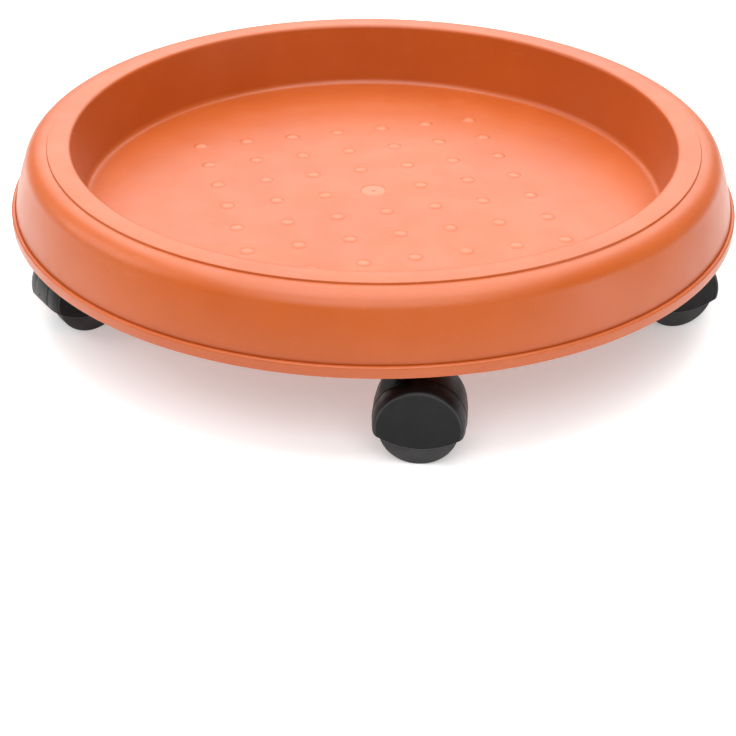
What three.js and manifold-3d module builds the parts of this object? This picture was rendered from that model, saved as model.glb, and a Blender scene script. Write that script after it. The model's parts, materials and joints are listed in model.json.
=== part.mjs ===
// Round plant pot caddy: a moulded plastic tray on five twin-wheel swivel casters.
// Units are millimetres, +Z is up and the origin is on the ground under the tray's centre.

import * as THREE from 'three';
import { mergeVertices } from 'three/addons/utils/BufferGeometryUtils.js';
import Module from 'manifold-3d';

const wasm = await Module();
wasm.setup();

const DEGREE = Math.PI / 180;
const QUARTER_TURN = Math.PI / 2;

// ---- Driving dimensions ----

const GAP = 0.3;                    // clearance between pieces that touch or run in each other
const TRAY_RADIUS = 175;            // outside of the lip
const FLOOR_TOP = 45;               // ground to the surface that the pot stands on
const FLOOR_THICKNESS = 2.5;
const RIM_TOP = FLOOR_TOP + 33;
const WALL = 2.4;                   // skin of the skirt, rim and inner wall

const LIP_BOTTOM = FLOOR_TOP - 0.8;
const LIP_TOP = LIP_BOTTOM + 5.2;
const LIP_STEP = 2.2;               // how far the lip stands out from the skirt
const LIP_CHAMFER_IN = 0.8;
const LIP_CHAMFER_DOWN = 1.4;
const SKIRT_BULGE_RADIUS = TRAY_RADIUS - 4.2;   // pulls the skirt's curve outwards
const SKIRT_BULGE_HEIGHT = FLOOR_TOP + 15;
const SHOULDER_RADIUS = 167;        // where the skirt turns into the shoulder
const SHOULDER_BOTTOM = RIM_TOP - 8;
const SHOULDER_PULL_RADIUS = SHOULDER_RADIUS - 2;
const SHOULDER_PULL_HEIGHT = RIM_TOP - 1.6;
const SHOULDER_HOLLOW = 4;          // how much further in the shoulder's inside turns
const BAND_OUTER = 156;             // the flat band on top of the rim
const BAND_INNER = 147;
const BAND_STEP = 0.9;              // height of the band above the shoulder
const BAND_CHAMFER = 0.5;
const MOUTH_RADIUS = 145;           // inner wall at the rim
const MOUTH_ROUNDING = 2;
const MOUTH_FACET = 0.6;            // middle of the mouth's rounding, from its corner
const WELL_RADIUS = 141.6;          // inner wall at the floor
const WELL_FILLET = 2.8;

const TRAY_SEGMENTS = 80;
const CURVE_STEPS = 3;

const BUMP_ROWS = 7;
const BUMP_PITCH = 24.4;
const BUMP_RADIUS = 3.5;
const BUMP_HEIGHT = 1;
const BUMP_GRID_TURN = 15.4 * DEGREE;
const BUMP_SEGMENTS = 7;
const BUMP_KNEE = [0.6, 0.75];      // shares of the radius and the height
const GATE_RADIUS = 6.5;            // shallow recess around the moulding gate
const GATE_DEPTH = 0.3;
const GATE_NUB_RADIUS = 1;
const GATE_SEGMENTS = 20;
const NUB_SEGMENTS = 10;

const CASTER_COUNT = 5;
const STEM_CIRCLE_RADIUS = 158.4;
const FIRST_CASTER_ANGLE = -86.3;   // degrees, counter-clockwise from +X
const REST_SWIVEL = [-4.4, 193, 215, 320, 36];   // degrees, from the stem towards the axle
const TRAIL = 10.4;                 // stem axis to axle

const WHEEL_RADIUS = 16.8;
const WHEEL_INNER = 4.9;            // faces of a wheel, from the middle of the caster
const WHEEL_OUTER = 12;
const WHEEL_EDGE = 1;
const AXLE_RADIUS = 2;
const AXLE_HALF_LENGTH = 10.2;
const HUB_DEPTH = WHEEL_OUTER - 1.5;
const WHEEL_SEGMENTS = 24;
const AXLE_SEGMENTS = 12;

const HOOD_HALF_WIDTH = 14;
const HOOD_RADIUS = 20;             // at the middle of the barrel
const HOOD_LIFT = 0.9;              // barrel's centre above the axle
const HOOD_CROWN = 0.25;            // fall of the barrel a quarter of its width from the middle
const HOOD_FACE_RADIUS = 17.6;      // flat part of the side plates
const HOOD_EDGE = 1.4;              // rounding around the side plates
const HOOD_EDGE_TURNS = [0, 45, 90];
const HOOD_SEGMENTS = 28;
const HOOD_SKIRT_RADIUS = 31;       // arc of the lower edge, seen along the axle
const HOOD_SKIRT_DROP = 8;          // lowest point of that arc below the axle
const HOOD_SKIRT_SEGMENTS = 64;
const WEB_HALF_WIDTH = 4.5;
const WEB_CUT_HALF = WEB_HALF_WIDTH + 1;
const POCKET_RADIUS = WHEEL_RADIUS + 0.5;
const POCKET_OUTER = WHEEL_OUTER + GAP;
const POCKET_SEGMENTS = 20;
const AXLE_SLOT_WIDTH = 3.4;        // narrower than the axle, which snaps in from below
const AXLE_SEAT_SEGMENTS = 14;

const SOCKET_RADIUS = 6.5;
const SOCKET_BOTTOM = FLOOR_TOP - 1.5;
const BOSS_RADIUS = 5.75;
const BOSS_TOP = SOCKET_BOTTOM - GAP;
const BOSS_ROOT = WHEEL_RADIUS + 12;   // the boss starts inside the barrel
const BOSS_SEGMENTS = 18;
const PIN_RADIUS = 3;
const PIN_BOTTOM = WHEEL_RADIUS + 3;
const PIN_TOP = SOCKET_BOTTOM + 24;
const PIN_CHAMFER = 0.8;
const PIN_SEGMENTS = 14;
const BORE_SEGMENTS = 16;
const RING_BOTTOM = SOCKET_BOTTOM + 15;
const RING_HEIGHT = 2.4;
const RING_INNER = 2.7;
const RING_OUTER = 4;
const RING_SLIT = 1.2;
const GUSSET_THICKNESS = 2;
const GUSSET_BOTTOM = FLOOR_TOP + 2;

// ---- Materials ----

const terracotta = new THREE.MeshStandardMaterial({ color: 0xd4693f, roughness: 0.55, metalness: 0 });
const blackNylon = new THREE.MeshStandardMaterial({ color: 0x2a2829, roughness: 0.5, metalness: 0 });
const blackTread = new THREE.MeshStandardMaterial({ color: 0x343233, roughness: 0.6, metalness: 0 });
const steel = new THREE.MeshStandardMaterial({ color: 0x9a9a9c, roughness: 0.35, metalness: 1 });

// ---- Solids ----

// Joins the seams of a closed three.js geometry and hands it over as a solid.
function solidOf(geometry) {
  geometry.deleteAttribute('normal');
  geometry.deleteAttribute('uv');
  const merged = mergeVertices(geometry, 1e-4);
  const index = merged.index.array;
  const triangles = [];
  for (let i = 0; i < index.length; i += 3) {
    const [a, b, c] = [index[i], index[i + 1], index[i + 2]];
    if (a !== b && b !== c && c !== a) triangles.push(a, b, c);
  }
  const mesh = new wasm.Mesh({
    numProp: 3,
    vertProperties: new Float32Array(merged.attributes.position.array),
    triVerts: new Uint32Array(triangles),
  });
  return new wasm.Manifold(mesh);
}

function geometryOf(solid) {
  const mesh = solid.getMesh();
  const geometry = new THREE.BufferGeometry();
  geometry.setAttribute('position', new THREE.BufferAttribute(mesh.vertProperties, 3));
  geometry.setIndex(new THREE.BufferAttribute(mesh.triVerts, 1));
  geometry.computeVertexNormals();
  return geometry;
}

// A solid turned about the Y axis: each point is [radius, y], with the outside running upwards.
function turnedAboutY(points, segments) {
  return new THREE.LatheGeometry(points.map(([r, y]) => new THREE.Vector2(r, y)), segments);
}

function turnedAboutZ(points, segments) {
  return turnedAboutY(points, segments).rotateX(QUARTER_TURN);
}

function cylinderAboutY(radius, from, to, segments) {
  return turnedAboutY([[0, from], [radius, from], [radius, to], [0, to]], segments);
}

function cylinderAboutZ(radius, from, to, segments) {
  return turnedAboutZ([[0, from], [radius, from], [radius, to], [0, to]], segments);
}

function box(from, to) {
  const size = to.map((value, axis) => value - from[axis]);
  const centre = to.map((value, axis) => (value + from[axis]) / 2);
  return new THREE.BoxGeometry(...size).translate(...centre);
}

// ---- Tray ----

const stemAngles = Array.from(
  { length: CASTER_COUNT },
  (_, i) => (FIRST_CASTER_ANGLE + i * 360 / CASTER_COUNT) * DEGREE,
);

const skirtFoot = TRAY_RADIUS - LIP_STEP;

// Outside of the tray's cross-section, from the lip's lower edge to the rim's flat band.
function outsideLine() {
  const shoulderTop = RIM_TOP - BAND_STEP;
  const shoulderEnd = BAND_OUTER + BAND_CHAMFER;
  const section = new THREE.Path();
  section.moveTo(TRAY_RADIUS, LIP_BOTTOM);
  section.lineTo(TRAY_RADIUS, LIP_TOP - LIP_CHAMFER_DOWN);
  section.lineTo(TRAY_RADIUS - LIP_CHAMFER_IN, LIP_TOP - LIP_CHAMFER_IN / 4);
  section.lineTo(skirtFoot, LIP_TOP);
  section.quadraticCurveTo(SKIRT_BULGE_RADIUS, SKIRT_BULGE_HEIGHT, SHOULDER_RADIUS, SHOULDER_BOTTOM);
  section.quadraticCurveTo(SHOULDER_PULL_RADIUS, SHOULDER_PULL_HEIGHT, shoulderEnd, shoulderTop);
  section.lineTo(BAND_OUTER, RIM_TOP - BAND_CHAMFER / 2);
  section.lineTo(BAND_OUTER - BAND_CHAMFER, RIM_TOP);
  section.lineTo(BAND_INNER, RIM_TOP);
  return section;
}

// The whole cross-section: the outside, the drafted inner wall and the floor, and below them the
// hollow of the rim, which is open downwards.
function traySection() {
  const section = outsideLine();
  section.lineTo(MOUTH_RADIUS + MOUTH_FACET, RIM_TOP - MOUTH_FACET);
  section.lineTo(MOUTH_RADIUS, RIM_TOP - MOUTH_ROUNDING);
  section.lineTo(WELL_RADIUS, FLOOR_TOP + WELL_FILLET);
  section.lineTo(WELL_RADIUS - WELL_FILLET / 3, FLOOR_TOP + WELL_FILLET / 3);
  section.lineTo(WELL_RADIUS - WELL_FILLET, FLOOR_TOP);
  section.lineTo(0, FLOOR_TOP);
  section.lineTo(0, FLOOR_TOP - FLOOR_THICKNESS);
  section.lineTo(WELL_RADIUS, FLOOR_TOP - FLOOR_THICKNESS);
  section.lineTo(WELL_RADIUS + WALL, FLOOR_TOP);
  section.lineTo(MOUTH_RADIUS + WALL, RIM_TOP - WALL - MOUTH_ROUNDING);
  section.lineTo(BAND_INNER + WALL, RIM_TOP - WALL);
  section.lineTo(BAND_OUTER, RIM_TOP - WALL - BAND_CHAMFER);
  section.lineTo(SHOULDER_RADIUS - SHOULDER_HOLLOW, SHOULDER_BOTTOM + WALL);
  section.lineTo(SHOULDER_RADIUS - WALL, SHOULDER_BOTTOM - SHOULDER_HOLLOW / 2);
  section.lineTo(skirtFoot - WALL, LIP_TOP);
  section.lineTo(skirtFoot - WALL, LIP_BOTTOM);
  section.lineTo(TRAY_RADIUS, LIP_BOTTOM);
  return sectionPoints(section);
}

function sectionPoints(section) {
  return section.getPoints(CURVE_STEPS).map((point) => [point.x, point.y]);
}

// The tray's outside filled in, which trims what reaches up into the rim from below.
function envelopeSolid() {
  const section = outsideLine();
  section.lineTo(0, RIM_TOP);
  const points = sectionPoints(section);
  return solidOf(turnedAboutZ([[0, 0], [TRAY_RADIUS, 0], ...points], TRAY_SEGMENTS));
}

// Low domes in a square grid, with the middle one left out for the gate.
function bumpSolids() {
  const dome = [
    [0, -FLOOR_THICKNESS / 2],
    [BUMP_RADIUS, -FLOOR_THICKNESS / 2],
    [BUMP_RADIUS, 0],
    [BUMP_RADIUS * BUMP_KNEE[0], BUMP_HEIGHT * BUMP_KNEE[1]],
    [0, BUMP_HEIGHT],
  ];
  const reach = (BUMP_ROWS - 1) / 2;
  const bumps = [];
  for (let row = -reach; row <= reach; row += 1) {
    for (let column = -reach; column <= reach; column += 1) {
      if (row === 0 && column === 0) continue;
      const place = new THREE.Vector2(column * BUMP_PITCH, row * BUMP_PITCH);
      place.rotateAround(new THREE.Vector2(), BUMP_GRID_TURN);
      bumps.push(solidOf(turnedAboutZ(dome, BUMP_SEGMENTS).translate(place.x, place.y, FLOOR_TOP)));
    }
  }
  return bumps;
}

// A stem socket in the hollow of the rim, tied to both walls by a gusset along the tray's radius.
function socketSolid(angle) {
  const roof = RIM_TOP - WALL / 2;
  const tube = cylinderAboutZ(SOCKET_RADIUS, SOCKET_BOTTOM, roof, BORE_SEGMENTS);
  const tubeSolid = solidOf(tube.translate(STEM_CIRCLE_RADIUS, 0, 0));
  const inner = MOUTH_RADIUS + WALL / 3;
  const outer = SHOULDER_RADIUS - WALL / 2;
  const half = GUSSET_THICKNESS / 2;
  const gusset = box([inner, -half, GUSSET_BOTTOM], [outer, half, SHOULDER_BOTTOM]);
  return tubeSolid.add(solidOf(gusset)).rotate([0, 0, angle / DEGREE]);
}

// The pin's bore in a socket, with the inside groove that the split ring springs into.
function socketBoreSolid(angle) {
  const bore = PIN_RADIUS + GAP;
  const groove = RING_OUTER + GAP;
  const points = [
    [0, SOCKET_BOTTOM - 1],
    [bore, SOCKET_BOTTOM - 1],
    [bore, RING_BOTTOM - GAP],
    [groove, RING_BOTTOM - GAP],
    [groove, RING_BOTTOM + RING_HEIGHT + GAP],
    [bore, RING_BOTTOM + RING_HEIGHT + GAP],
    [bore, PIN_TOP + 2 * GAP],
    [0, PIN_TOP + 2 * GAP],
  ];
  const shape = turnedAboutZ(points, BORE_SEGMENTS).translate(STEM_CIRCLE_RADIUS, 0, 0);
  return solidOf(shape.rotateZ(angle));
}

function traySolid() {
  const envelope = envelopeSolid();
  let tray = solidOf(turnedAboutZ(traySection(), TRAY_SEGMENTS));
  for (const bump of bumpSolids()) tray = tray.add(bump);
  for (const angle of stemAngles) tray = tray.add(socketSolid(angle).intersect(envelope));
  for (const angle of stemAngles) tray = tray.subtract(socketBoreSolid(angle));
  const recess = cylinderAboutZ(GATE_RADIUS, FLOOR_TOP - GATE_DEPTH, FLOOR_TOP + 1, GATE_SEGMENTS);
  const nub = cylinderAboutZ(GATE_NUB_RADIUS, FLOOR_TOP - 1, FLOOR_TOP, NUB_SEGMENTS);
  return tray.subtract(solidOf(recess)).add(solidOf(nub));
}

// ---- Caster, about its own stem: +X runs to the axle, Y is the axle's direction ----

// Barrel about the axle, with flat side plates and rounded edges.
function hoodBarrel() {
  const edgeY = HOOD_HALF_WIDTH - HOOD_EDGE;
  const half = [[HOOD_RADIUS, 0], [HOOD_RADIUS - HOOD_CROWN, edgeY / 2]];
  for (const turn of HOOD_EDGE_TURNS) {
    const r = HOOD_FACE_RADIUS + HOOD_EDGE * Math.cos(turn * DEGREE);
    half.push([r, edgeY + HOOD_EDGE * Math.sin(turn * DEGREE)]);
  }
  half.push([0, HOOD_HALF_WIDTH]);
  const mirrored = half.slice(1).reverse().map(([r, y]) => [r, -y]);
  const barrel = turnedAboutY([...mirrored, ...half], HOOD_SEGMENTS);
  return solidOf(barrel.translate(0, 0, HOOD_LIFT));
}

// Room for one wheel, its outer corner cut back like the wheel's own edge.
function wheelPocket(side) {
  const points = [
    [0, WEB_HALF_WIDTH],
    [POCKET_RADIUS, WEB_HALF_WIDTH],
    [POCKET_RADIUS, POCKET_OUTER - WHEEL_EDGE],
    [POCKET_RADIUS - WHEEL_EDGE, POCKET_OUTER],
    [0, POCKET_OUTER],
  ];
  const pocket = solidOf(turnedAboutY(points, POCKET_SEGMENTS));
  return side > 0 ? pocket : pocket.mirror([0, 1, 0]);
}

function hoodSolid() {
  const arcCentre = HOOD_SKIRT_RADIUS - HOOD_SKIRT_DROP;
  const wide = 2 * HOOD_HALF_WIDTH;
  const skirt = cylinderAboutY(HOOD_SKIRT_RADIUS, -wide, wide, HOOD_SKIRT_SEGMENTS);
  const seat = cylinderAboutY(AXLE_RADIUS + GAP, -WEB_CUT_HALF, WEB_CUT_HALF, AXLE_SEAT_SEGMENTS);
  const slotHalf = AXLE_SLOT_WIDTH / 2;
  const slot = box([-slotHalf, -WEB_CUT_HALF, -HOOD_RADIUS], [slotHalf, WEB_CUT_HALF, 0]);
  const aboutAxle = hoodBarrel()
    .intersect(solidOf(skirt.translate(0, 0, arcCentre)))
    .subtract(solidOf(seat))
    .subtract(solidOf(slot))
    .translate([TRAIL, 0, WHEEL_RADIUS]);
  const boss = turnedAboutZ([
    [0, BOSS_ROOT],
    [BOSS_RADIUS, BOSS_ROOT],
    [BOSS_RADIUS, BOSS_TOP - PIN_CHAMFER],
    [BOSS_RADIUS - PIN_CHAMFER, BOSS_TOP],
    [0, BOSS_TOP],
  ], BOSS_SEGMENTS);
  const bore = cylinderAboutZ(PIN_RADIUS + GAP, PIN_BOTTOM - GAP, BOSS_TOP + 1, BORE_SEGMENTS);
  let hood = aboutAxle.add(solidOf(boss)).subtract(solidOf(bore));
  for (const side of [-1, 1]) {
    hood = hood.subtract(wheelPocket(side).translate([TRAIL, 0, WHEEL_RADIUS]));
  }
  return hood;
}

function pinSolid() {
  const groove = RING_INNER - GAP;
  return solidOf(turnedAboutZ([
    [0, PIN_BOTTOM],
    [PIN_RADIUS - PIN_CHAMFER, PIN_BOTTOM],
    [PIN_RADIUS, PIN_BOTTOM + PIN_CHAMFER],
    [PIN_RADIUS, RING_BOTTOM - GAP],
    [groove, RING_BOTTOM - GAP],
    [groove, RING_BOTTOM + RING_HEIGHT + GAP],
    [PIN_RADIUS, RING_BOTTOM + RING_HEIGHT + GAP],
    [PIN_RADIUS, PIN_TOP - PIN_CHAMFER],
    [PIN_RADIUS - PIN_CHAMFER, PIN_TOP],
    [0, PIN_TOP],
  ], PIN_SEGMENTS));
}

function ringSolid() {
  const ring = turnedAboutZ([
    [RING_INNER, RING_BOTTOM],
    [RING_OUTER, RING_BOTTOM],
    [RING_OUTER, RING_BOTTOM + RING_HEIGHT],
    [RING_INNER, RING_BOTTOM + RING_HEIGHT],
    [RING_INNER, RING_BOTTOM],
  ], BORE_SEGMENTS);
  const half = RING_SLIT / 2;
  const slit = box([0, -half, RING_BOTTOM - 1], [RING_OUTER + 1, half, RING_BOTTOM + RING_HEIGHT + 1]);
  return solidOf(ring).subtract(solidOf(slit));
}

function wheelSolid(side) {
  const bore = AXLE_RADIUS + GAP;
  const wheel = solidOf(turnedAboutY([
    [0, HUB_DEPTH],
    [bore, HUB_DEPTH],
    [bore, WHEEL_INNER],
    [WHEEL_RADIUS - WHEEL_EDGE, WHEEL_INNER],
    [WHEEL_RADIUS, WHEEL_INNER + WHEEL_EDGE],
    [WHEEL_RADIUS, WHEEL_OUTER - WHEEL_EDGE],
    [WHEEL_RADIUS - WHEEL_EDGE, WHEEL_OUTER],
    [0, WHEEL_OUTER],
  ], WHEEL_SEGMENTS));
  return side > 0 ? wheel : wheel.mirror([0, 1, 0]);
}

function axleSolid() {
  return solidOf(cylinderAboutY(AXLE_RADIUS, -AXLE_HALF_LENGTH, AXLE_HALF_LENGTH, AXLE_SEGMENTS));
}

// ---- Assembly ----

function namedMesh(name, geometry, material) {
  const mesh = new THREE.Mesh(geometry, material);
  mesh.name = name;
  return mesh;
}

function casterGroup(number, swivel, shapes) {
  const caster = new THREE.Group();
  const name = `caster_${number}`;
  caster.add(namedMesh(`${name}_hood`, shapes.hood, blackNylon));
  caster.add(namedMesh(`${name}_pin`, shapes.pin, steel));
  caster.add(namedMesh(`${name}_grip_ring`, shapes.ring, steel));
  const wheelset = new THREE.Group();
  wheelset.position.set(TRAIL, 0, WHEEL_RADIUS);
  wheelset.add(namedMesh(`${name}_axle`, shapes.axle, steel));
  wheelset.add(namedMesh(`${name}_wheel_left`, shapes.leftWheel, blackTread));
  wheelset.add(namedMesh(`${name}_wheel_right`, shapes.rightWheel, blackTread));
  caster.add(wheelset);
  caster.rotation.z = swivel * DEGREE;
  return caster;
}

const caddy = new THREE.Group();
caddy.add(namedMesh('tray', geometryOf(traySolid()), terracotta));

const casterShapes = {
  hood: geometryOf(hoodSolid()),
  pin: geometryOf(pinSolid()),
  ring: geometryOf(ringSolid()),
  axle: geometryOf(axleSolid()),
  leftWheel: geometryOf(wheelSolid(1)),
  rightWheel: geometryOf(wheelSolid(-1)),
};

stemAngles.forEach((angle, i) => {
  const caster = casterGroup(i + 1, REST_SWIVEL[i], casterShapes);
  const x = STEM_CIRCLE_RADIUS * Math.cos(angle);
  const y = STEM_CIRCLE_RADIUS * Math.sin(angle);
  caster.position.set(x, y, 0);
  caddy.add(caster);
});

export default caddy;
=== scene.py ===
"""Round plant pot caddy on five hooded twin-wheel casters: smooth pieces, materials, light and camera.

Lengths are in metres, in the frame's own axes: +Z up, the ground at zero.
"""

import json
from math import atan2, cos, hypot, pi, radians, sin, sqrt

import bmesh
import bpy
from mathutils import Matrix, Vector


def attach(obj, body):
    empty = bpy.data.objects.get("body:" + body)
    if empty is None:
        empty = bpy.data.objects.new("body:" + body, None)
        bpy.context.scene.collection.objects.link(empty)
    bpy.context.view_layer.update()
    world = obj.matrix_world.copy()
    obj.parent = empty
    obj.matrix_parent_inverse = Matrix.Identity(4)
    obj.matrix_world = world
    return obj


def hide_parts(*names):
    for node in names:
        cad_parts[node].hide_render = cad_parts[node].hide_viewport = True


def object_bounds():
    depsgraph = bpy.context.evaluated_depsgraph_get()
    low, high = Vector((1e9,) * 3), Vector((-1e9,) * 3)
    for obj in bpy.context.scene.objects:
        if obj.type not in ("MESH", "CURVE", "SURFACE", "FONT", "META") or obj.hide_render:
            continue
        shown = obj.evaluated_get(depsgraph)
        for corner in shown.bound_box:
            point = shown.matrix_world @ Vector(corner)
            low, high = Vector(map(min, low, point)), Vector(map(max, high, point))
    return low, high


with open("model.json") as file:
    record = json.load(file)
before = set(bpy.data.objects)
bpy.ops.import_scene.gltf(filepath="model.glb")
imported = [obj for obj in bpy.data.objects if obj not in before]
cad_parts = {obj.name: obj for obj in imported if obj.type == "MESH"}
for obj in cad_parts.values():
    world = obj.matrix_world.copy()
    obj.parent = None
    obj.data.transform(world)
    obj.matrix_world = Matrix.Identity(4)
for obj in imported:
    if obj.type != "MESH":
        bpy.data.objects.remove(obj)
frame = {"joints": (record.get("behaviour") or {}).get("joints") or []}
cad_low, cad_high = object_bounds()

MM = 0.001
TAU = 2 * pi
SLIVER = 0.002 * MM                  # edges shorter than this are cleaned out of a cut mesh

# ---- Fineness: segments around each kind of turned shape, and the angle that counts as an edge ----

TRAY_SEGMENTS = 288
BUMP_SEGMENTS = 28
SOCKET_SEGMENTS = 40
SKIRT_ARC_SEGMENTS = 256
WHEEL_SEGMENTS = 144                 # and the hood's barrel
POCKET_SEGMENTS = 96
STEM_SEGMENTS = 64                   # the pin and the boss
BORE_SEGMENTS = 48                   # the hood's bores and the axle
RING_STEPS = 60
EDGE_ANGLE = radians(32)
HOOD_EDGE_ANGLE = radians(28)

# ---- Tray sizes ----

TRAY_RADIUS = (cad_high.x - cad_low.x) / 2
RIM_TOP = cad_high.z
WELL_DEPTH = 33 * MM
FLOOR_TOP = RIM_TOP - WELL_DEPTH
FLOOR_THICKNESS = 2.5 * MM
WALL = 2.4 * MM

LIP_BOTTOM = FLOOR_TOP - 0.8 * MM
LIP_TOP = LIP_BOTTOM + 5.2 * MM
SKIRT_FOOT = TRAY_RADIUS - 2.2 * MM
SHOULDER_RADIUS = TRAY_RADIUS - 8 * MM
SHOULDER_BOTTOM = RIM_TOP - 8 * MM
BAND_OUTER = TRAY_RADIUS - 19 * MM
BAND_STEP = 0.9 * MM
MOUTH_RADIUS = 145 * MM
WELL_RADIUS = 141.6 * MM

BUMP_ROWS = 7
BUMP_PITCH = 24.4 * MM
BUMP_RADIUS = 3.85 * MM
BUMP_HEIGHT = 0.7 * MM
BUMP_SINK = 0.05 * MM
BUMP_GRID_TURN = radians(15.4)
GATE_RADIUS = 6.5 * MM
GATE_DEPTH = 0.22 * MM

SOCKET_RADIUS = 6.5 * MM
SOCKET_BOTTOM = FLOOR_TOP - 1.5 * MM
GUSSET_THICKNESS = 2 * MM
RIM_SKIN_SLOPE = 0.685               # how steeply the rim's plastic falls away outside the flat band

# ---- Caster sizes, about the axle unless they say otherwise ----

GAP = 0.3 * MM
WHEEL_RADIUS = 16.8 * MM
WHEEL_INNER = 4.9 * MM
WHEEL_OUTER = 12 * MM
HOOD_HALF_WIDTH = 14 * MM
HOOD_FACE_RADIUS = 17.5 * MM
HOOD_EDGE = 1.4 * MM
HOOD_BAND_RADIUS = 20 * MM
HOOD_BAND_HALF = 5.2 * MM
HOOD_BAND_STEP = 0.25 * MM
HOOD_LIFT = 0.9 * MM                 # barrel's centre above the axle
SKIRT_ARC_RADIUS = 31 * MM
SKIRT_ARC_DROP = 8 * MM
WEB_HALF_WIDTH = 4.5 * MM
POCKET_RADIUS = WHEEL_RADIUS + 0.5 * MM
POCKET_OUTER = WHEEL_OUTER + GAP
AXLE_RADIUS = 2 * MM
AXLE_HALF_LENGTH = 10.2 * MM
AXLE_SLOT_HALF = 1.7 * MM
BOSS_RADIUS = 5.75 * MM
BOSS_TOP = SOCKET_BOTTOM - GAP       # above the ground
PIN_RADIUS = 3 * MM
PIN_BOTTOM = WHEEL_RADIUS + 3 * MM   # above the ground
PIN_TOP = SOCKET_BOTTOM + 24 * MM    # above the ground
RING_BOTTOM = SOCKET_BOTTOM + 15 * MM
RING_HEIGHT = 2.4 * MM
RING_INNER = 2.7 * MM
RING_OUTER = 4 * MM
RING_HALF_SLIT = 0.19                # radians

# ---- Camera, fitted to the tray's floor and rim ----

CAMERA_BACK = 725.3 * MM             # from the middle of the floor's top, along -Y
CAMERA_UP = 342.8 * MM
CAMERA_PITCH = radians(31.58)
CAMERA_PAN = radians(-0.141)
CAMERA_ROLL = radians(0.577)
CAMERA_LENS = 79.0                   # millimetres on a 36 mm sensor

# ---- Light: the world is brightest high up behind the caddy, and dark low in front ----

WORLD_BRIGHT_WAY = (0, 0.6, 0.8)
WORLD_BRIGHT = 0.5
WORLD_DIM = 0
WORLD_SPREAD = (-0.5, 1)             # cosines off the bright way at which it is dim and bright
BACKDROP = 0.62                      # how bright the whole world looks to the camera
FLOOR_HALF = 6
FLOOR_GLOW = 0.37                    # the floor gives off light, as a light table does

TRAY_MIDDLE = (0, 0, FLOOR_TOP)
RIGHT_CASTER_SIDE = (0.12, -0.1, 20 * MM)
LIGHTS = (                           # name, place, aim, size and watts
    ("overhead", (0, 0, 1.5), TRAY_MIDDLE, (1.5, 1.2), 23.5),
    ("front_high", (0, -1.1, 1.2), TRAY_MIDDLE, (1.6, 0.8), 14.5),
    ("back_high", (0, 1.2, 1.5), TRAY_MIDDLE, (2.0, 0.8), 18),
    ("back_low", (0, 1.7, 0.85), TRAY_MIDDLE, (2.2, 0.6), 12),
    ("left", (-1.5, 0.1, 0.9), TRAY_MIDDLE, (1.0, 0.8), 8),
    ("right_low", (1.1, -0.55, 0.11), RIGHT_CASTER_SIDE, (0.5, 0.2), 1.3),
)

# ---- Colours, in linear red, green and blue ----

TERRACOTTA = (0.425, 0.0755, 0.0068)
TERRACOTTA_LIGHT = (0.455, 0.086, 0.0098)
TERRACOTTA_MOTTLE = (0.395, 0.066, 0.0045)
TERRACOTTA_FLECK = (0.83, 0.36, 0.2)
TERRACOTTA_SCUFF = (0.8, 0.36, 0.22)
# painted sheen on the disc round the gate
GATE_DISC_PAINTED_SHEEN = (0.92, 0.46, 0.3)
GATE_MARK = (0.16, 0.03, 0.012)
# painted highlight on the tops of the floor's bumps
BUMP_TOP_PAINTED_HIGHLIGHT = (0.92, 0.42, 0.27)
BLACK = (0.0035, 0.0032, 0.0034)
BLACK_LIGHT = (0.0055, 0.0051, 0.0053)
BLACK_DUST = (0.12, 0.115, 0.112)
# painted highlight along the hood's sharp edges
BLACK_PAINTED_EDGE_HIGHLIGHT = (0.13, 0.127, 0.126)
# painted highlight round the rounded edge of the hood's faces
BLACK_PAINTED_RIM_HIGHLIGHT = (0.075, 0.073, 0.073)
WHEEL_BLACK = (0.031, 0.0292, 0.0297)
WHEEL_BLACK_LIGHT = (0.043, 0.041, 0.0415)
WHEEL_WORN = (0.13, 0.125, 0.12)
STEEL = (0.5, 0.5, 0.51)
STEEL_LIGHT = (0.62, 0.615, 0.61)
PALE = (0.78, 0.78, 0.78)
PALE_LIGHT = (0.8, 0.8, 0.8)


# ---- Outlines ----

def arc(centre, radius, start, end, steps):
    """Points on an arc from start to end, in degrees."""
    angles = [radians(start + (end - start) * i / steps) for i in range(steps + 1)]
    return [(centre[0] + radius * cos(a), centre[1] + radius * sin(a)) for a in angles]


def bend(start, pull, end, steps):
    """Points on a quadratic curve, without its first point."""
    points = []
    for i in range(1, steps + 1):
        t = i / steps
        a, b, c = (1 - t) ** 2, 2 * t * (1 - t), t * t
        points.append(tuple(a * start[k] + b * pull[k] + c * end[k] for k in (0, 1)))
    return points


def softened(corners, steps=5):
    """An open outline through (radius, height, fillet) corners, each rounded by its fillet."""
    points = []
    last = len(corners) - 1
    for i, (r, z, fillet) in enumerate(corners):
        if i in (0, last) or fillet == 0:
            points.append((r, z))
            continue
        here = Vector((r, z))
        before = Vector(corners[i - 1][:2]) - here
        after = Vector(corners[i + 1][:2]) - here
        reach = min(fillet, before.length * 0.48, after.length * 0.48)
        first = here + before.normalized() * reach
        final = here + after.normalized() * reach
        points.append(tuple(first))
        points += bend(first, here, final, steps)
    return points


# ---- Mesh building ----

def revolve(bm, outline, segments, about="Z"):
    """Turns an outline of (radius, height) about an axis. Points on the axis become poles."""
    rings = []
    for r, h in outline:
        if r < 1e-7:
            spot = (0, 0, h) if about == "Z" else (0, h, 0)
            rings.append([bm.verts.new(spot)])
            continue
        ring = []
        for i in range(segments):
            a = TAU * i / segments
            spot = (r * cos(a), r * sin(a), h) if about == "Z" else (r * cos(a), h, -r * sin(a))
            ring.append(bm.verts.new(spot))
        rings.append(ring)
    for low, high in zip(rings, rings[1:]):
        for i in range(segments):
            j = (i + 1) % segments
            corners = [low[i % len(low)], low[j % len(low)], high[j % len(high)], high[i % len(high)]]
            unique = list(dict.fromkeys(corners))
            if len(unique) > 2:
                bm.faces.new(unique)
    return rings


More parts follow.
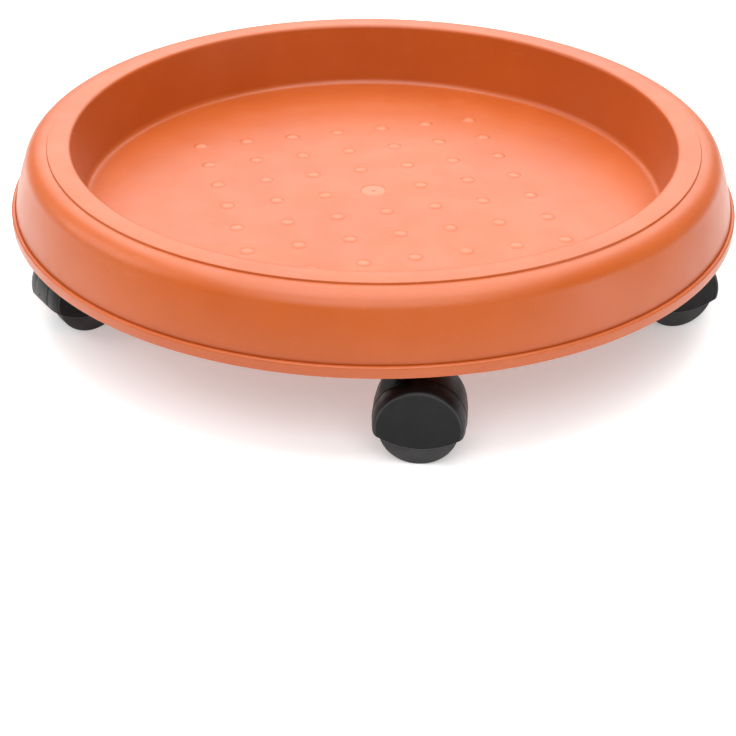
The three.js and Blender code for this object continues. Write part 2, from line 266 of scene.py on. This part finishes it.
def block(bm, low, high):
    """A box between two corners."""
    made = bmesh.ops.create_cube(bm, size=1)["verts"]
    size = [b - a for a, b in zip(low, high)]
    middle = [(a + b) / 2 for a, b in zip(low, high)]
    for vertex in made:
        vertex.co = Vector([c * s + m for c, s, m in zip(vertex.co, size, middle)])
    return made


def mesh_from(bm, name):
    bmesh.ops.recalc_face_normals(bm, faces=bm.faces)
    mesh = bpy.data.meshes.new(name)
    bm.to_mesh(mesh)
    bm.free()
    finish_mesh(mesh, EDGE_ANGLE)
    return mesh


def finish_mesh(mesh, edge_angle):
    mesh.polygons.foreach_set("use_smooth", [True] * len(mesh.polygons))
    mesh.set_sharp_from_angle(angle=edge_angle)
    mesh.update()


def object_of(mesh, name, place=None):
    obj = bpy.data.objects.new(name, mesh)
    bpy.context.scene.collection.objects.link(obj)
    if place is not None:
        obj.matrix_world = place
    return obj


def combined(base, tools):
    """The base mesh after each (operation, tool mesh) boolean in turn, cleaned and closed."""
    target = object_of(base, "boolean_base")
    helpers = [target]
    for i, (operation, tool) in enumerate(tools):
        cutter = object_of(tool, f"boolean_tool_{i}")
        modifier = target.modifiers.new(f"step_{i}", "BOOLEAN")
        modifier.operation = operation
        modifier.solver = "EXACT"
        modifier.object = cutter
        helpers.append(cutter)
    bpy.context.view_layer.update()
    evaluated = target.evaluated_get(bpy.context.evaluated_depsgraph_get())
    made = bpy.data.meshes.new_from_object(evaluated)
    for helper in helpers:
        bpy.data.objects.remove(helper)
    bm = bmesh.new()
    bm.from_mesh(made)
    bmesh.ops.remove_doubles(bm, verts=bm.verts, dist=SLIVER)
    bmesh.ops.dissolve_degenerate(bm, edges=bm.edges, dist=SLIVER)
    bmesh.ops.holes_fill(bm, edges=[edge for edge in bm.edges if edge.is_boundary])
    bm.to_mesh(made)
    bm.free()
    return made


# ---- Material nodes ----

class Nodes:
    """Short names for building one material's node tree."""

    def __init__(self, name):
        self.material = bpy.data.materials.new(name)
        self.material.use_nodes = True
        self.tree = self.material.node_tree
        self.shader = self.tree.nodes["Principled BSDF"]
        self.place = self.tree.nodes.new("ShaderNodeTexCoord").outputs["Object"]

    def link(self, source, target):
        self.tree.links.new(source, target)

    def noise(self, scale, detail=3.0, roughness=0.5, place=None):
        node = self.tree.nodes.new("ShaderNodeTexNoise")
        node.inputs["Scale"].default_value = scale
        node.inputs["Detail"].default_value = detail
        node.inputs["Roughness"].default_value = roughness
        self.link(place or self.place, node.inputs["Vector"])
        return node.outputs["Fac"]

    def stretched(self, scale):
        node = self.tree.nodes.new("ShaderNodeMapping")
        node.inputs["Scale"].default_value = scale
        self.link(self.place, node.inputs["Vector"])
        return node.outputs["Vector"]

    def ranged(self, value, low, high, to_low=0.0, to_high=1.0):
        node = self.tree.nodes.new("ShaderNodeMapRange")
        node.interpolation_type = "SMOOTHSTEP"
        node.inputs["From Min"].default_value = low
        node.inputs["From Max"].default_value = high
        node.inputs["To Min"].default_value = to_low
        node.inputs["To Max"].default_value = to_high
        self.link(value, node.inputs["Value"])
        return node.outputs["Result"]

    def math(self, operation, *values):
        node = self.tree.nodes.new("ShaderNodeMath")
        node.operation = operation
        for socket, value in zip(node.inputs, values):
            if isinstance(value, (int, float)):
                socket.default_value = value
            else:
                self.link(value, socket)
        return node.outputs["Value"]

    def mix(self, factor, first, second):
        node = self.tree.nodes.new("ShaderNodeMix")
        node.data_type = "RGBA"
        self.link(factor, node.inputs["Factor"])
        for socket, value in zip([s for s in node.inputs if s.type == "RGBA"], (first, second)):
            if isinstance(value, tuple):
                socket.default_value = (*value, 1)
            else:
                self.link(value, socket)
        return next(s for s in node.outputs if s.type == "RGBA")

    def bump(self, height, strength, distance, under=None):
        node = self.tree.nodes.new("ShaderNodeBump")
        node.inputs["Strength"].default_value = strength
        node.inputs["Distance"].default_value = distance
        self.link(height, node.inputs["Height"])
        if under:
            self.link(under, node.inputs["Normal"])
        return node.outputs["Normal"]

    def rounded_edges(self, radius):
        """The normal with its sharp edges rounded, and a mask of those edges."""
        bevel = self.tree.nodes.new("ShaderNodeBevel")
        bevel.samples = 8
        bevel.inputs["Radius"].default_value = radius
        geometry = self.tree.nodes.new("ShaderNodeNewGeometry")
        same = self.tree.nodes.new("ShaderNodeVectorMath")
        same.operation = "DOT_PRODUCT"
        self.link(bevel.outputs["Normal"], same.inputs[0])
        self.link(geometry.outputs["Normal"], same.inputs[1])
        return bevel.outputs["Normal"], self.ranged(same.outputs["Value"], 0.8, 0.98, 1.0, 0.0)

    def length(self, first, second):
        """The length of the line with these two sides to it."""
        squares = [self.math("MULTIPLY", side, side) for side in (first, second)]
        return self.math("SQRT", self.math("ADD", *squares))

    def axis(self, letter):
        node = self.tree.nodes.new("ShaderNodeSeparateXYZ")
        self.link(self.place, node.inputs["Vector"])
        return node.outputs[letter]


def terracotta_material():
    n = Nodes("terracotta_plastic")
    n.shader.inputs["Specular IOR Level"].default_value = 0.5
    n.shader.inputs["Sheen Weight"].default_value = 0.03
    n.shader.inputs["Sheen Roughness"].default_value = 0.4
    clouds = n.ranged(n.noise(14, 2), 0.35, 0.65)
    mottle = n.ranged(n.noise(90, 4, 0.6), 0.3, 0.7)
    base = n.mix(clouds, TERRACOTTA, TERRACOTTA_LIGHT)
    base = n.mix(n.math("MULTIPLY", mottle, 0.22), base, TERRACOTTA_MOTTLE)
    flecks = n.ranged(n.noise(1500, 1), 0.69, 0.76)
    base = n.mix(n.math("MULTIPLY", flecks, 0.12), base, TERRACOTTA_FLECK)
    x, y, z = n.axis("X"), n.axis("Y"), n.axis("Z")
    radius = n.length(x, y)
    on_floor = n.ranged(z, FLOOR_TOP - 1 * MM, FLOOR_TOP - 0.6 * MM)
    # Painted sheen: the disc round the gate is made paler, standing in for its different surface
    # finish.
    ragged = n.math("ADD", radius, n.math("MULTIPLY", n.noise(500, 2), 1.6 * MM))
    gate = n.ranged(ragged, GATE_RADIUS - 0.9 * MM, GATE_RADIUS + 0.9 * MM, 0.15, 0.0)
    base = n.mix(n.math("MULTIPLY", gate, on_floor), base, GATE_DISC_PAINTED_SHEEN)
    gate_mark = n.ranged(radius, 0.3 * MM, 0.7 * MM, 0.75, 0.0)
    base = n.mix(n.math("MULTIPLY", gate_mark, on_floor), base, GATE_MARK)
    # Painted highlight: the tops of the floor's bumps, inside the well, are made paler.
    in_well = n.ranged(radius, WELL_RADIUS - 10 * MM, WELL_RADIUS - 8 * MM, 1.0, 0.0)
    painted_bump_highlight = n.ranged(z, FLOOR_TOP + 0.2 * MM, FLOOR_TOP + 0.6 * MM, 0.0, 0.15)
    base = n.mix(n.math("MULTIPLY", painted_bump_highlight, in_well), base, BUMP_TOP_PAINTED_HIGHLIGHT)
    streaks = n.noise(1, 3, 0.55, n.stretched((70, 70, 900)))
    patches = n.ranged(n.noise(11, 2), 0.56, 0.7)
    scuffs = n.math("MULTIPLY", n.ranged(streaks, 0.6, 0.72), patches)
    base = n.mix(n.math("MULTIPLY", scuffs, 0.07), base, TERRACOTTA_SCUFF)
    n.link(base, n.shader.inputs["Base Color"])
    rough = n.ranged(n.noise(60, 3), 0.3, 0.7, 0.36, 0.42)
    n.link(n.math("ADD", rough, n.math("MULTIPLY", scuffs, 0.1)), n.shader.inputs["Roughness"])
    ripple = n.bump(n.noise(45, 2), 0.15, 0.4 * MM)
    n.link(n.bump(n.noise(1900, 3, 0.6), 0.22, 0.05 * MM, ripple), n.shader.inputs["Normal"])
    return n.material


def black_plastic_material():
    n = Nodes("black_moulded_plastic")
    n.shader.inputs["Specular IOR Level"].default_value = 0.19
    n.shader.inputs["Sheen Weight"].default_value = 0.06
    n.shader.inputs["Sheen Roughness"].default_value = 0.3
    clouds = n.ranged(n.noise(160, 3), 0.3, 0.7)
    base = n.mix(clouds, BLACK, BLACK_LIGHT)
    dust = n.ranged(n.noise(2600, 2), 0.64, 0.74)
    base = n.mix(n.math("MULTIPLY", dust, 0.16), base, BLACK_DUST)
    # Painted highlight: sharp edges are lightened in the base colour; the bevel also rounds their
    # normals.
    rounded, painted_edge_highlight = n.rounded_edges(0.5 * MM)
    base = n.mix(painted_edge_highlight, base, BLACK_PAINTED_EDGE_HIGHLIGHT)
    # Painted highlight: a light line round the rounded edge of each hood face.
    x, y, z = n.axis("X"), n.axis("Y"), n.axis("Z")
    above = n.math("SUBTRACT", z, HOOD_LIFT)
    radius = n.length(x, above)
    out = n.math("ABSOLUTE", y)
    from_edge = n.math("ABSOLUTE", n.math("SUBTRACT", radius, HOOD_FACE_RADIUS + 0.5 * MM))
    painted_rim_highlight = n.ranged(from_edge, 0.1 * MM, 0.7 * MM, 0.4, 0.0)
    at_face = n.ranged(out, HOOD_HALF_WIDTH - 1.1 * MM, HOOD_HALF_WIDTH - 0.5 * MM)
    base = n.mix(n.math("MULTIPLY", painted_rim_highlight, at_face), base, BLACK_PAINTED_RIM_HIGHLIGHT)
    n.link(base, n.shader.inputs["Base Color"])
    n.link(n.ranged(n.noise(220, 3), 0.3, 0.7, 0.34, 0.42), n.shader.inputs["Roughness"])
    n.link(n.bump(n.noise(3400, 3, 0.6), 0.22, 0.04 * MM, rounded), n.shader.inputs["Normal"])
    return n.material


def wheel_material():
    n = Nodes("black_wheel_plastic")
    n.shader.inputs["Specular IOR Level"].default_value = 0.3
    clouds = n.ranged(n.noise(130, 4), 0.3, 0.7)
    base = n.mix(clouds, WHEEL_BLACK, WHEEL_BLACK_LIGHT)
    wear = n.ranged(n.noise(1, 3, 0.6, n.stretched((900, 120, 900))), 0.6, 0.75)
    base = n.mix(n.math("MULTIPLY", wear, 0.2), base, WHEEL_WORN)
    n.link(base, n.shader.inputs["Base Color"])
    n.link(n.ranged(n.noise(260, 3), 0.3, 0.7, 0.5, 0.62), n.shader.inputs["Roughness"])
    n.link(n.bump(n.noise(2600, 3, 0.6), 0.3, 0.05 * MM), n.shader.inputs["Normal"])
    return n.material


def steel_material():
    n = Nodes("plain_steel")
    n.shader.inputs["Metallic"].default_value = 1
    base = n.mix(n.ranged(n.noise(400, 3), 0.3, 0.7), STEEL, STEEL_LIGHT)
    n.link(base, n.shader.inputs["Base Color"])
    lines = n.noise(1, 2, 0.5, n.stretched((300, 300, 6000)))
    n.link(n.ranged(lines, 0.3, 0.7, 0.24, 0.4), n.shader.inputs["Roughness"])
    n.link(n.bump(lines, 0.15, 0.03 * MM), n.shader.inputs["Normal"])
    return n.material


def floor_material():
    n = Nodes("pale_floor")
    n.link(n.mix(n.noise(3, 2), PALE, PALE_LIGHT), n.shader.inputs["Base Color"])
    n.shader.inputs["Roughness"].default_value = 0.9
    n.shader.inputs["Emission Color"].default_value = (1, 1, 1, 1)
    n.shader.inputs["Emission Strength"].default_value = FLOOR_GLOW
    n.shader.inputs["Specular IOR Level"].default_value = 0.1
    return n.material


# ---- Tray ----

def tray_outline():
    """From the middle of the floor's underside, out and over the rim and back to the floor's middle."""
    shoulder_top = RIM_TOP - BAND_STEP
    foot = (SKIRT_FOOT, LIP_TOP + 0.5 * MM)
    shoulder = (SHOULDER_RADIUS, SHOULDER_BOTTOM)
    shoulder_end = (BAND_OUTER + 0.6 * MM, shoulder_top)
    under = softened([
        (0, FLOOR_TOP - FLOOR_THICKNESS, 0),
        (WELL_RADIUS, FLOOR_TOP - FLOOR_THICKNESS, 2 * MM),
        (WELL_RADIUS + WALL, FLOOR_TOP, 2 * MM),
        (MOUTH_RADIUS + WALL, RIM_TOP - WALL, 3 * MM),
        (BAND_OUTER, RIM_TOP - WALL, 3 * MM),
        (SHOULDER_RADIUS - WALL - 1 * MM, SHOULDER_BOTTOM + 0.5 * MM, 6 * MM),
        (SKIRT_FOOT - WALL, LIP_TOP, 3 * MM),
        (SKIRT_FOOT - WALL, LIP_BOTTOM, 0.4 * MM),
        (TRAY_RADIUS, LIP_BOTTOM, 0.5 * MM),
        (TRAY_RADIUS, LIP_TOP - 0.2 * MM, 2.4 * MM),
        (SKIRT_FOOT + 0.7 * MM, LIP_TOP + 0.1 * MM, 0.5 * MM),
        (SKIRT_FOOT - 0.05 * MM, LIP_TOP - 0.5 * MM, 0.2 * MM),
        (*foot, 0),
    ])
    skirt = bend(foot, (TRAY_RADIUS - 4.2 * MM, FLOOR_TOP + 15 * MM), shoulder, 16)
    crown = bend(shoulder, (SHOULDER_RADIUS - 2 * MM, RIM_TOP - 1.6 * MM), shoulder_end, 16)
    band = softened([
        (*shoulder_end, 0),
        (BAND_OUTER + 0.15 * MM, shoulder_top - 0.05 * MM, 0.1 * MM),
        (BAND_OUTER - 0.1 * MM, RIM_TOP, 0.35 * MM),
        (MOUTH_RADIUS, RIM_TOP, 2.0 * MM),
        (WELL_RADIUS, FLOOR_TOP, 3.4 * MM),
        (GATE_RADIUS, FLOOR_TOP, 0.3 * MM),
        (GATE_RADIUS - 0.3 * MM, FLOOR_TOP - GATE_DEPTH, 0.2 * MM),
        (0.9 * MM, FLOOR_TOP - GATE_DEPTH, 0.1 * MM),
        (0.7 * MM, FLOOR_TOP + 0.05 * MM, 0.15 * MM),
        (0, FLOOR_TOP + 0.1 * MM, 0),
    ])
    return under + skirt + crown + band[1:]


def bump_outline():
    """A low closed dome, from the middle of its base just under the floor's surface to its top."""
    ball = (BUMP_RADIUS ** 2 + BUMP_HEIGHT ** 2) / (2 * BUMP_HEIGHT)
    steps = 9
    points = [(0, -BUMP_SINK), (BUMP_RADIUS + 0.15 * MM, -BUMP_SINK)]
    for i in range(steps + 1):
        r = BUMP_RADIUS * (1 - i / steps)
        points.append((r, sqrt(ball * ball - r * r) - ball + BUMP_HEIGHT))
    return points


def add_bumps(bm):
    reach = (BUMP_ROWS - 1) // 2
    places = [(i, j) for i in range(-reach, reach + 1) for j in range(-reach, reach + 1)]
    for i, j in places:
        if i == 0 and j == 0:
            continue
        spot = Vector((i * BUMP_PITCH, j * BUMP_PITCH, 0))
        spot.rotate(Matrix.Rotation(BUMP_GRID_TURN, 3, "Z"))
        rings = revolve(bm, bump_outline(), BUMP_SEGMENTS)
        for vertex in [v for ring in rings for v in ring]:
            vertex.co += Vector((spot.x, spot.y, FLOOR_TOP))


def inside_rim_skin(r):
    """A height that lies inside the rim's plastic, above the hollow, out to the shoulder."""
    return RIM_TOP - WALL / 2 - RIM_SKIN_SLOPE * max(0, r - BAND_OUTER)


def add_socket(bm, stem):
    """A closed stem socket in the rim's hollow, whose top follows the rim's underside."""
    bore = PIN_RADIUS + GAP
    groove = RING_OUTER + GAP
    bore_top = PIN_TOP + 2 * GAP
    shell = revolve(bm, softened([
        (0, bore_top, 0),
        (bore, bore_top, 0),
        (bore, RING_BOTTOM + RING_HEIGHT + GAP, 0),
        (groove, RING_BOTTOM + RING_HEIGHT + GAP, 0),
        (groove, RING_BOTTOM - GAP, 0),
        (bore, RING_BOTTOM - GAP, 0),
        (bore, SOCKET_BOTTOM, 0.4 * MM),
        (SOCKET_RADIUS, SOCKET_BOTTOM, 0.6 * MM),
        (SOCKET_RADIUS, RIM_TOP, 0),
        (0, RIM_TOP, 0),
    ], 3), SOCKET_SEGMENTS)
    for vertex in [v for ring in shell for v in ring]:
        vertex.co += Vector((stem.x, stem.y, 0))
    for vertex in [v for ring in shell[-2:] for v in ring]:
        vertex.co.z = inside_rim_skin(hypot(vertex.co.x, vertex.co.y))


def add_gussets(bm, stem):
    """A web on each side of a socket, along the tray's radius, that follows the wall it ends in."""
    out = hypot(stem.x, stem.y)
    turn = Matrix.Rotation(atan2(stem.y, stem.x), 4, "Z")
    half = GUSSET_THICKNESS / 2
    low = FLOOR_TOP + 2 * MM
    high_in, high_out = RIM_TOP - 7 * MM, RIM_TOP - 11 * MM
    from_wall, to_skirt = MOUTH_RADIUS + 1 * MM, SHOULDER_RADIUS - 1.4 * MM
    wall_foot, skirt_foot = WELL_RADIUS + WALL / 2, SKIRT_FOOT - WALL / 2
    inner = block(bm, (from_wall, -half, low), (out - SOCKET_RADIUS + 0.5 * MM, half, high_in))
    outer = block(bm, (out + SOCKET_RADIUS - 0.5 * MM, -half, low), (to_skirt, half, high_out))
    for web, end, foot in ((inner, from_wall, wall_foot), (outer, to_skirt, skirt_foot)):
        for vertex in web:
            if abs(vertex.co.x - end) < GAP and abs(vertex.co.z - low) < GAP:
                vertex.co.x = foot
        bmesh.ops.transform(bm, matrix=turn, verts=web)


def make_tray(material, stems):
    bm = bmesh.new()
    revolve(bm, tray_outline(), TRAY_SEGMENTS)
    add_bumps(bm)
    for stem in stems:
        add_socket(bm, stem)
        add_gussets(bm, stem)
    tray = object_of(mesh_from(bm, "tray_moulding"), "tray_moulding")
    dress(tray, material, "tray", "tray")


# ---- Casters: +X runs from the stem to the axle and Y is the axle's direction ----

def hood_outline():
    """The barrel about the axle, as (radius, distance along the axle)."""
    edge = HOOD_HALF_WIDTH - HOOD_EDGE
    beside_band = HOOD_BAND_RADIUS - HOOD_BAND_STEP
    half = softened([
        (HOOD_BAND_RADIUS, 0, 0),
        (HOOD_BAND_RADIUS - 0.02 * MM, HOOD_BAND_HALF, 0.2 * MM),
        (beside_band, HOOD_BAND_HALF + 0.35 * MM, 0.2 * MM),
        (beside_band - 0.05 * MM, HOOD_BAND_HALF + 2 * MM, 0),
    ], 3)
    half += bend(
        half[-1],
        (beside_band - 0.15 * MM, edge - 1.5 * MM),
        (HOOD_FACE_RADIUS + HOOD_EDGE, edge),
        8,
    )
    half += arc((HOOD_FACE_RADIUS, edge), HOOD_EDGE, 0, 90, 10)[1:]
    half += [(HOOD_FACE_RADIUS - 0.4 * MM, HOOD_HALF_WIDTH - 0.12 * MM)]
    half += [(HOOD_FACE_RADIUS - 1.0 * MM, HOOD_HALF_WIDTH - 0.15 * MM)]
    half += [(0, HOOD_HALF_WIDTH - 0.15 * MM)]
    return [(r, -y) for r, y in reversed(half[1:])] + half


def turned_mesh(outline, segments, about, shift=(0, 0, 0)):
    bm = bmesh.new()
    revolve(bm, outline, segments, about)
    bmesh.ops.translate(bm, verts=bm.verts, vec=Vector(shift))
    return mesh_from(bm, "turned")


def block_mesh(low, high):
    bm = bmesh.new()
    block(bm, low, high)
    return mesh_from(bm, "block")


def pocket_mesh(side):
    """The space that a wheel turns in, on the left (1) or right (-1) of the web."""
    corner = 1 * MM
    outline = [
        (0, WEB_HALF_WIDTH),
        (POCKET_RADIUS, WEB_HALF_WIDTH),
        (POCKET_RADIUS, POCKET_OUTER - corner),
        (POCKET_RADIUS - corner, POCKET_OUTER),
        (0, POCKET_OUTER),
    ]
    if side < 0:
        outline = [(r, -y) for r, y in reversed(outline)]
    return turned_mesh(outline, POCKET_SEGMENTS, "Y")


def boss_mesh(trail, axle_height):
    """The stem boss, flared a little where it grows out of the barrel."""
    top = BOSS_TOP - axle_height
    outline = softened([
        (0, 11 * MM, 0),
        (BOSS_RADIUS + 1.6 * MM, 11 * MM, 0),
        (BOSS_RADIUS + 0.2 * MM, 17.5 * MM, 3 * MM),
        (BOSS_RADIUS, top, 0.7 * MM),
        (0, top, 0),
    ], 6)
    return turned_mesh(outline, STEM_SEGMENTS, "Z", (-trail, 0, 0))


def gate_dimple_mesh():
    """A small moulding mark low on the barrel, on the stem's side."""
    bm = bmesh.new()
    bmesh.ops.create_uvsphere(bm, u_segments=16, v_segments=8, radius=0.7 * MM)
    spot = Vector((-HOOD_BAND_RADIUS + 0.1 * MM, 2 * MM, HOOD_LIFT + 0.9 * MM))
    bmesh.ops.translate(bm, verts=bm.verts, vec=spot)
    return mesh_from(bm, "gate_dimple")


def hood_mesh(trail, axle_height):
    wide = 2 * HOOD_HALF_WIDTH
    arc_height = SKIRT_ARC_RADIUS - SKIRT_ARC_DROP
    skirt = turned_mesh(
        [(0, -wide), (SKIRT_ARC_RADIUS, -wide), (SKIRT_ARC_RADIUS, wide), (0, wide)],
        SKIRT_ARC_SEGMENTS, "Y", (0, 0, arc_height),
    )
    reach = WEB_HALF_WIDTH + 0.1 * MM
    seat_radius = AXLE_RADIUS + GAP
    seat = turned_mesh(
        [(0, -reach), (seat_radius, -reach), (seat_radius, reach), (0, reach)],
        BORE_SEGMENTS, "Y",
    )
    slot = block_mesh((-AXLE_SLOT_HALF, -reach, -wide), (AXLE_SLOT_HALF, reach, 0))
    bore_radius = PIN_RADIUS + GAP
    bore_low, bore_high = PIN_BOTTOM - GAP - axle_height, BOSS_TOP + 1 * MM - axle_height
    bore = turned_mesh(
        [(0, bore_low), (bore_radius, bore_low), (bore_radius, bore_high), (0, bore_high)],
        BORE_SEGMENTS, "Z", (-trail, 0, 0),
    )
    tools = [
        ("INTERSECT", skirt),
        ("UNION", boss_mesh(trail, axle_height)),
        ("DIFFERENCE", pocket_mesh(1)),
        ("DIFFERENCE", pocket_mesh(-1)),
        ("DIFFERENCE", seat),
        ("DIFFERENCE", slot),
        ("DIFFERENCE", bore),
        ("DIFFERENCE", gate_dimple_mesh()),
    ]
    mesh = combined(turned_mesh(hood_outline(), WHEEL_SEGMENTS, "Y", (0, 0, HOOD_LIFT)), tools)
    finish_mesh(mesh, HOOD_EDGE_ANGLE)
    mesh.name = "caster_hood"
    return mesh


def wheel_mesh(side):
    outline = softened([
        (0, WHEEL_OUTER, 0),
        (WHEEL_RADIUS, WHEEL_OUTER, 0.7 * MM),
        (WHEEL_RADIUS, WHEEL_INNER, 0.7 * MM),
        (WHEEL_RADIUS - 2.6 * MM, WHEEL_INNER, 0.4 * MM),
        (WHEEL_RADIUS - 3.2 * MM, WHEEL_INNER + 1.6 * MM, 0.5 * MM),
        (6.2 * MM, WHEEL_INNER + 1.6 * MM, 0.5 * MM),
        (5.4 * MM, WHEEL_INNER, 0.4 * MM),
        (AXLE_RADIUS + GAP, WHEEL_INNER, 0.3 * MM),
        (AXLE_RADIUS + GAP, WHEEL_OUTER - 1.5 * MM, 0),
        (0, WHEEL_OUTER - 1.5 * MM, 0),
    ])
    return turned_mesh([(r, side * y) for r, y in outline], WHEEL_SEGMENTS, "Y")


def pin_mesh():
    groove = RING_INNER - GAP
    outline = softened([
        (0, PIN_BOTTOM, 0),
        (PIN_RADIUS, PIN_BOTTOM, 0.8 * MM),
        (PIN_RADIUS, RING_BOTTOM - GAP, 0.1 * MM),
        (groove, RING_BOTTOM - GAP, 0),
        (groove, RING_BOTTOM + RING_HEIGHT + GAP, 0),
        (PIN_RADIUS, RING_BOTTOM + RING_HEIGHT + GAP, 0.1 * MM),
        (PIN_RADIUS, PIN_TOP, 0.9 * MM),
        (0, PIN_TOP, 0),
    ])
    return turned_mesh(outline, STEM_SEGMENTS, "Z")


def ring_mesh():
    """A split ring: the revolve is left open over a narrow slit and both ends are closed."""
    bm = bmesh.new()
    corners = softened([
        (RING_INNER, RING_BOTTOM + RING_HEIGHT / 2, 0),
        (RING_INNER, RING_BOTTOM, 0.25 * MM),
        (RING_OUTER, RING_BOTTOM, 0.25 * MM),
        (RING_OUTER, RING_BOTTOM + RING_HEIGHT, 0.25 * MM),
        (RING_INNER, RING_BOTTOM + RING_HEIGHT, 0.25 * MM),
        (RING_INNER, RING_BOTTOM + RING_HEIGHT / 2, 0),
    ], 3)[:-1]
    rings = []
    for i in range(RING_STEPS + 1):
        a = RING_HALF_SLIT + (TAU - 2 * RING_HALF_SLIT) * i / RING_STEPS
        rings.append([bm.verts.new((r * cos(a), r * sin(a), z)) for r, z in corners])
    count = len(corners)
    for first, second in zip(rings, rings[1:]):
        for i in range(count):
            j = (i + 1) % count
            bm.faces.new((first[i], first[j], second[j], second[i]))
    bm.faces.new(rings[0])
    bm.faces.new(rings[-1])
    return mesh_from(bm, "grip_ring")


def axle_mesh():
    outline = softened([
        (0, -AXLE_HALF_LENGTH, 0),
        (AXLE_RADIUS, -AXLE_HALF_LENGTH, 0.4 * MM),
        (AXLE_RADIUS, AXLE_HALF_LENGTH, 0.4 * MM),
        (0, AXLE_HALF_LENGTH, 0),
    ])
    return turned_mesh(outline, BORE_SEGMENTS, "Y")


def dress(obj, material, body, node):
    """Gives a piece its material, its CAD body and the node that it stands for."""
    if not obj.data.materials:
        obj.data.materials.append(material)
    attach(obj, body)
    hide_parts(node)


def caster_places():
    """For each caster: its body's name, the stem's foot on the ground and the axle's middle."""
    places = []
    joints = {joint["name"]: joint for joint in frame["joints"]}
    for name in sorted(n for n in joints if n.endswith("_swivel")):
        body = joints[name]["child"]
        stem = Vector(joints[name]["pos_m"])
        axle = Vector(joints[f"{body}_left_spin"]["pos_m"])
        places.append((body, Vector((stem.x, stem.y, 0)), axle))
    return places


def make_casters(places, plastic, wheel, steel):
    first_stem, first_axle = places[0][1:]
    trail = hypot(first_axle.x - first_stem.x, first_axle.y - first_stem.y)
    shapes = {
        "hood": hood_mesh(trail, first_axle.z),
        "pin": pin_mesh(),
        "grip_ring": ring_mesh(),
        "axle": axle_mesh(),
        "wheel_left": wheel_mesh(1),
        "wheel_right": wheel_mesh(-1),
    }
    for body, stem, axle in places:
        swivel = Matrix.Rotation(atan2(axle.y - stem.y, axle.x - stem.x), 4, "Z")
        at_stem = Matrix.Translation(stem) @ swivel
        at_axle = Matrix.Translation(axle) @ swivel
        kinds = [
            ("hood", at_axle, plastic, "caster_plastic", body),
            ("pin", at_stem, steel, "steel", body),
            ("grip_ring", at_stem, steel, "steel", "tray"),
            ("axle", at_axle, steel, "steel", body),
            ("wheel_left", at_axle, wheel, "wheel_plastic", f"{body}_left_wheel"),
            ("wheel_right", at_axle, wheel, "wheel_plastic", f"{body}_right_wheel"),
        ]
        for kind, place, material, slot, moves_with in kinds:
            piece = object_of(shapes[kind], f"{body}_{kind}_detailed", place)
            dress(piece, material, moves_with, f"{body}_{kind}")


# ---- Stage ----

def make_floor():
    bm = bmesh.new()
    corners = [(-1, -1), (1, -1), (1, 1), (-1, 1)]
    bm.faces.new([bm.verts.new((x * FLOOR_HALF, y * FLOOR_HALF, 0)) for x, y in corners])
    floor = object_of(mesh_from(bm, "stage_floor"), "stage_floor")
    floor.data.materials.append(floor_material())


def make_camera():
    forward = Vector((
        sin(CAMERA_PAN) * cos(CAMERA_PITCH),
        cos(CAMERA_PAN) * cos(CAMERA_PITCH),
        -sin(CAMERA_PITCH),
    ))
    level = Vector((cos(CAMERA_PAN), -sin(CAMERA_PAN), 0))
    above = level.cross(forward)
    right = level * cos(CAMERA_ROLL) + above * sin(CAMERA_ROLL)
    up = above * cos(CAMERA_ROLL) - level * sin(CAMERA_ROLL)
    data = bpy.data.cameras.new("camera")
    data.lens = CAMERA_LENS
    data.sensor_width = 36
    data.clip_start = 0.01
    data.clip_end = 50
    camera = bpy.data.objects.new("camera", data)
    turn = Matrix((right, up, -forward)).transposed().to_4x4()
    camera.matrix_world = Matrix.Translation((0, -CAMERA_BACK, FLOOR_TOP + CAMERA_UP)) @ turn
    bpy.context.scene.collection.objects.link(camera)
    bpy.context.scene.camera = camera


def area_light(name, place, target, size, power):
    data = bpy.data.lights.new(name, "AREA")
    data.shape = "RECTANGLE"
    data.size, data.size_y = size
    data.energy = power
    light = bpy.data.objects.new(name, data)
    light.location = place
    light.rotation_mode = "QUATERNION"
    light.rotation_quaternion = (Vector(target) - Vector(place)).to_track_quat("-Z", "Y")
    light.visible_camera = False
    bpy.context.scene.collection.objects.link(light)


def make_world():
    world = bpy.data.worlds.new("studio")
    bpy.context.scene.world = world
    world.use_nodes = True
    tree = world.node_tree
    background = tree.nodes["Background"]
    background.inputs["Color"].default_value = (1, 1, 1, 1)
    direction = tree.nodes.new("ShaderNodeTexCoord").outputs["Generated"]
    spot = tree.nodes.new("ShaderNodeVectorMath")
    spot.operation = "DOT_PRODUCT"
    spot.inputs[1].default_value = WORLD_BRIGHT_WAY
    tree.links.new(direction, spot.inputs[0])
    spread = tree.nodes.new("ShaderNodeMapRange")
    spread.inputs["From Min"].default_value = WORLD_SPREAD[0]
    spread.inputs["From Max"].default_value = WORLD_SPREAD[1]
    spread.inputs["To Min"].default_value = WORLD_DIM
    spread.inputs["To Max"].default_value = WORLD_BRIGHT
    tree.links.new(spot.outputs["Value"], spread.inputs["Value"])
    seen = tree.nodes.new("ShaderNodeMix")
    camera_ray = tree.nodes.new("ShaderNodeLightPath").outputs["Is Camera Ray"]
    tree.links.new(camera_ray, seen.inputs["Factor"])
    tree.links.new(spread.outputs["Result"], seen.inputs["A"])
    seen.inputs["B"].default_value = BACKDROP
    tree.links.new(seen.outputs["Result"], background.inputs["Strength"])


def make_light():
    make_world()
    for light in LIGHTS:
        area_light(*light)
    view = bpy.context.scene.view_settings
    view.view_transform = "Standard"
    view.look = "None"


places = caster_places()
make_tray(terracotta_material(), [stem for _, stem, _ in places])
make_casters(places, black_plastic_material(), wheel_material(), steel_material())
make_floor()
make_camera()
make_light()
